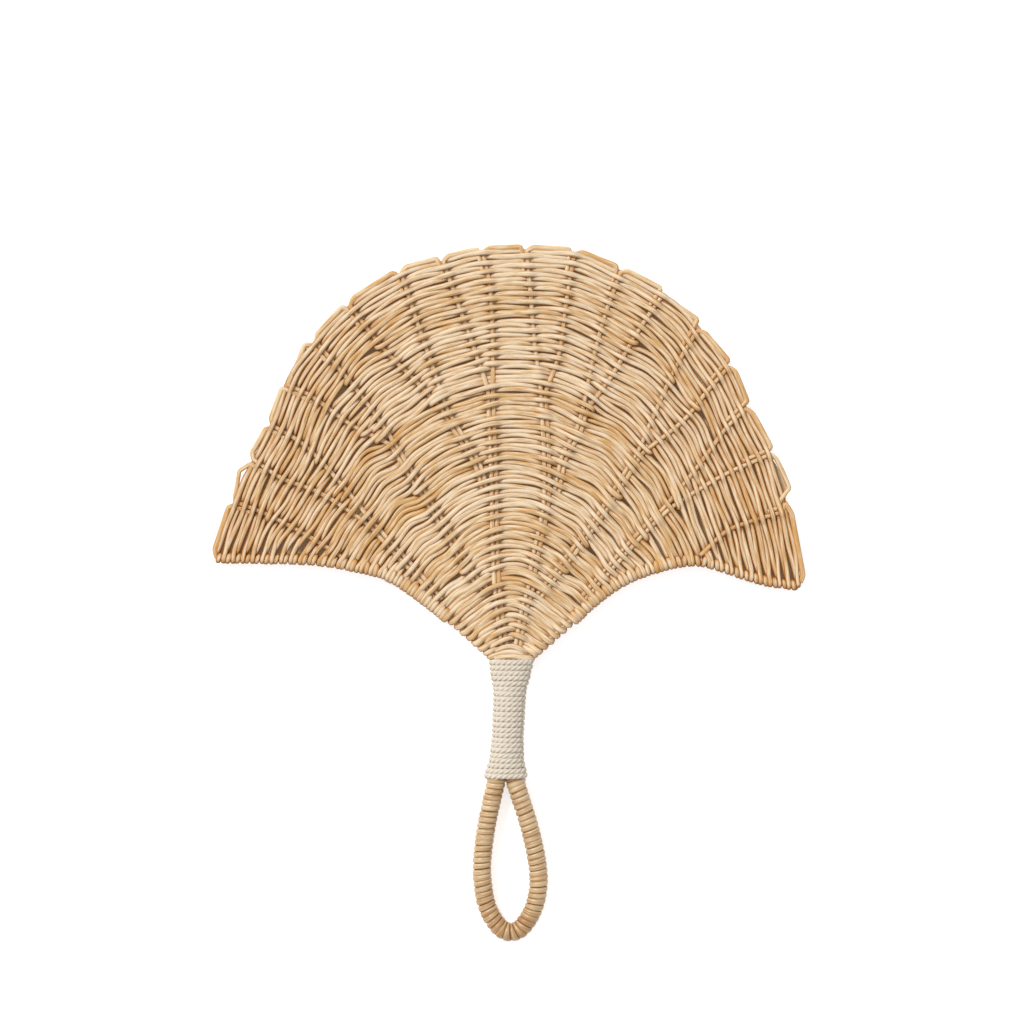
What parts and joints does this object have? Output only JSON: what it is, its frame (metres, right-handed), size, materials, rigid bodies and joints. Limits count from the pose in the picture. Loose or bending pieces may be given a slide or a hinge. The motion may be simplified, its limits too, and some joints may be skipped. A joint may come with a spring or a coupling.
{
  "type": "hand fan",
  "caption": "Woven rattan hand fan: a shell-shaped blade of round reed with a scalloped border, a cord-wrapped grip and a bound cane loop to hang it by.",
  "frame": {"origin": "On the floor plane that the fan rests on, under the middle of its plan.", "axes": "+Y from the loop along the handle to the top of the blade, +X to the blade's right seen from its front, +Z out of the front face, up while the fan lies on its back."},
  "size_m": [0.3396, 0.4012, 0.0173],
  "materials": {
    "weft_reed": "natural pale straw rattan reed, matt, with fine lengthwise grain",
    "stake_reed": "natural rattan reed, matt, slightly darker and more orange than the weave",
    "cane_core": "peeled cane, matt",
    "rattan_peel": "golden rattan peel with its natural satin skin",
    "cotton_cord": "undyed twisted cotton, matt"
  },
  "bodies": {
    "root": {"left_edge_rod": "stake_reed", "right_edge_rod": "stake_reed", "stake_01": "stake_reed", "stake_02": "stake_reed", "stake_03": "stake_reed", "stake_04": "stake_reed", "stake_05": "stake_reed", "stake_06": "stake_reed", "stake_07": "stake_reed", "stake_08": "stake_reed", "stake_09": "stake_reed", "stake_10": "stake_reed", "stake_11": "stake_reed", "stake_12": "stake_reed", "stake_13": "stake_reed", "stake_14": "stake_reed", "stake_15": "stake_reed", "stake_16": "stake_reed", "stake_17": "stake_reed", "stake_18": "stake_reed", "weft_01": "weft_reed", "weft_02": "weft_reed", "weft_03": "weft_reed", "weft_04": "weft_reed", "weft_05": "weft_reed", "weft_06": "weft_reed", "weft_07": "weft_reed", "weft_08": "weft_reed", "weft_09": "weft_reed", "weft_10": "weft_reed", "weft_11": "weft_reed", "weft_12": "weft_reed", "weft_13": "weft_reed", "weft_14": "weft_reed", "weft_15": "weft_reed", "weft_16": "weft_reed", "weft_17": "weft_reed", "weft_18": "weft_reed", "weft_19": "weft_reed", "weft_20": "weft_reed", "weft_21": "weft_reed", "weft_22": "weft_reed", "weft_23": "weft_reed", "weft_24": "weft_reed", "grip_core": "cane_core", "grip_cord": "cotton_cord", "loop_rod": "cane_core", "loop_binding": "rattan_peel"}
  },
  "joints": []
}
